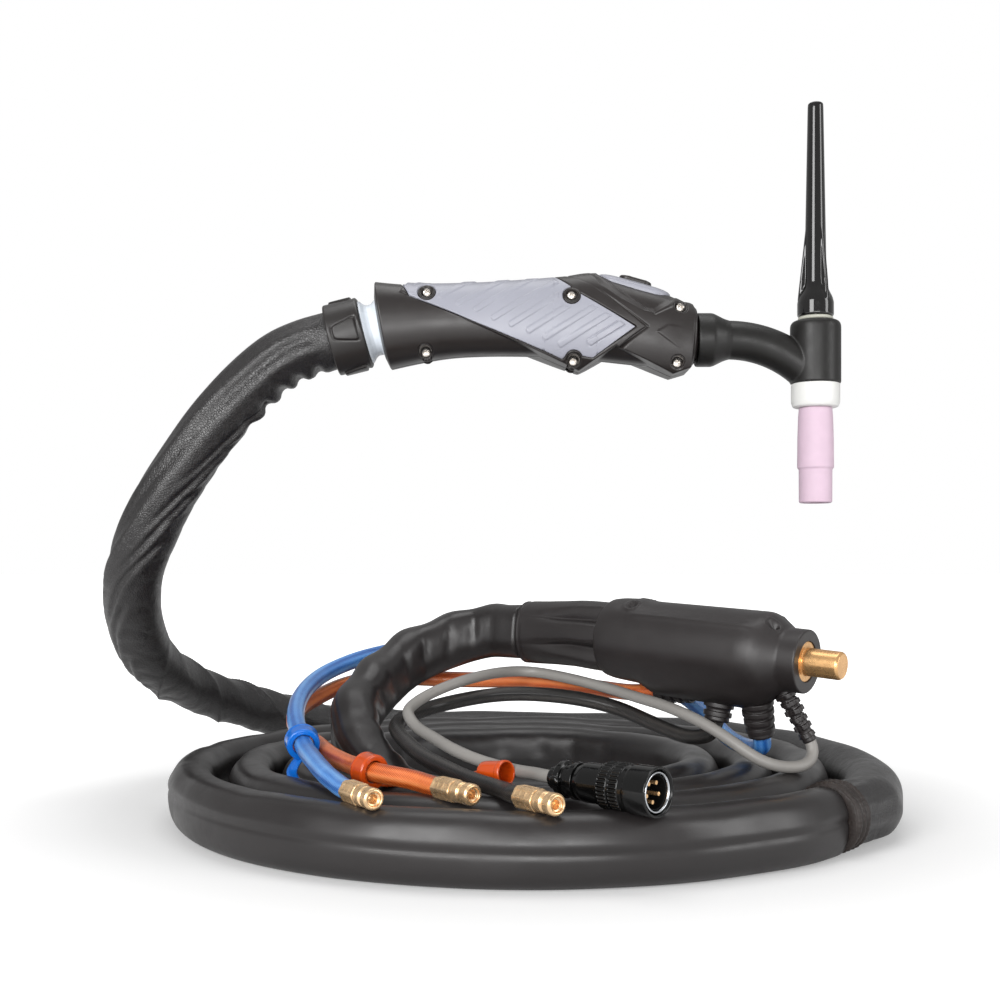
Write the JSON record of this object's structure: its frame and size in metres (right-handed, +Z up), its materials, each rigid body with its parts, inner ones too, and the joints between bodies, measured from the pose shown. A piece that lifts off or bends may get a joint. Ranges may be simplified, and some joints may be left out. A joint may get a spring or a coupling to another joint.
{
  "type": "tig torch",
  "caption": "Water-cooled TIG torch with a swivelling handle, pink ceramic cup, long back cap and a coiled leather and neoprene hose pack ending in a current plug, hoses and control plug.",
  "frame": {"origin": "Where the electrode leaves the collet, on the electrode axis", "axes": "+Z runs up the electrode axis from the gas cup to the back cap, +X points from the handle towards the head, +Y completes the right-handed frame"},
  "size_m": [0.4076, 0.3807, 0.3556],
  "materials": {
    "shell_black": "fine matte texture",
    "insert_grey": "smooth satin",
    "ball_grey": "smooth satin",
    "nut_black": "fine matte texture",
    "head_black": "satin moulded phenolic",
    "cap_black": "high gloss",
    "seal_rubber": "smooth",
    "white_plastic": "smooth satin",
    "pink_ceramic": "unglazed fired alumina",
    "copper": "machined copper",
    "brass": "machined",
    "screw_steel": "plated",
    "leather": "grained leather cover",
    "piping_brown": "sewn piping",
    "hose_black": "smooth neoprene",
    "boot_rubber": "soft moulded rubber",
    "red_braid": "braided, coated",
    "blue_braid": "braided, coated",
    "black_braid": "braided",
    "cable_grey": "smooth jacket",
    "red_plastic": "moulded",
    "blue_plastic": "moulded",
    "plug_black": "satin black anodised",
    "plug_silver": "bright shell",
    "insert_dark": "smooth"
  },
  "bodies": {
    "hose_pack": {"hose_nut": "nut_black", "leather_hose": "leather", "leather_piping": "piping_brown", "hose_coil": "hose_black", "hose_riser": "hose_black", "boot_neck_sleeve": "boot_rubber", "plug_boot": "boot_rubber", "current_plug": "brass", "red_relief": "boot_rubber", "blue_relief": "boot_rubber", "gas_relief": "boot_rubber", "cable_relief": "boot_rubber", "red_hose": "red_braid", "blue_hose": "blue_braid", "gas_hose": "black_braid", "control_cable": "cable_grey", "red_ferrule": "brass", "red_nipple": "brass", "blue_ferrule": "brass", "blue_nipple": "brass", "gas_ferrule": "brass", "gas_nipple": "brass", "red_cap_ring": "red_plastic", "red_dust_cap": "red_plastic", "blue_cap_ring": "blue_plastic", "blue_dust_cap": "blue_plastic", "plug_gland": "plug_black", "plug_clamp": "plug_black", "plug_barrel": "plug_black", "plug_shell": "plug_silver", "plug_insert": "insert_dark", "plug_pins": "brass"},
    "ball": {"ball_sleeve": "ball_grey"},
    "handset": {"head_body": "head_black", "head_core": "copper", "collet_body": "copper", "collet": "copper", "water_in_tube": "copper", "power_tube": "copper", "gas_tube": "copper", "handle_shell_front": "shell_black", "handle_shell_rear": "shell_black", "grip_insert_front": "insert_grey", "grip_insert_rear": "insert_grey", "handle_screws": "screw_steel", "switch_bezel": "insert_grey", "switch_block": "insert_dark"},
    "trigger": {"switch_button": "shell_black"},
    "cap_seal": {"cap_oring": "seal_rubber"},
    "cap": {"back_cap": "cap_black"},
    "cup_seat": {"head_insulator": "white_plastic"},
    "cup": {"gas_nozzle": "pink_ceramic"},
    "plug_lock": {"plug_ring": "plug_black"}
  },
  "joints": [
    {"name": "handle_roll", "type": "hinge", "parent": "hose_pack", "child": "ball", "pos_m": [-0.2083, 0, 0.08341], "axis": [0.9703, 0, 0.2419], "range_deg": [-60, 60]},
    {"name": "handle_tilt", "type": "hinge", "parent": "ball", "child": "handset", "pos_m": [-0.2083, 0, 0.08341], "axis": [0, 1, 0], "range_deg": [-16, 8]},
    {"name": "trigger_press", "type": "slide", "parent": "handset", "child": "trigger", "axis": [-0.2672, 0, -0.9636], "range_m": [0, 0.0015], "stiffness_N_per_m": 500, "springref_m": -0.002},
    {"name": "cap_lift", "type": "slide", "parent": "handset", "child": "cap_seal", "axis": [0, 0, 1], "range_m": [0, 0.004]},
    {"name": "cap_turn", "type": "hinge", "parent": "cap_seal", "child": "cap", "pos_m": [0, 0, 0.09], "axis": [0, 0, 1], "range_deg": [0, 1440]},
    {"name": "cup_lower", "type": "slide", "parent": "handset", "child": "cup_seat", "axis": [0, 0, -1], "range_m": [0, 0.006]},
    {"name": "cup_turn", "type": "hinge", "parent": "cup_seat", "child": "cup", "pos_m": [0, 0, 0.04], "axis": [0, 0, -1], "range_deg": [0, 1440]},
    {"name": "plug_ring_turn", "type": "hinge", "parent": "hose_pack", "child": "plug_lock", "pos_m": [-0.10693, -0.14847, -0.1239], "axis": [0.7268, -0.6868, 0], "continuous": true}
  ],
  "couplings": [
    {"joint": "cap_turn", "follows": "cap_lift", "rad_per_m": 6283.2},
    {"joint": "cup_turn", "follows": "cup_lower", "rad_per_m": 4188.8}
  ]
}
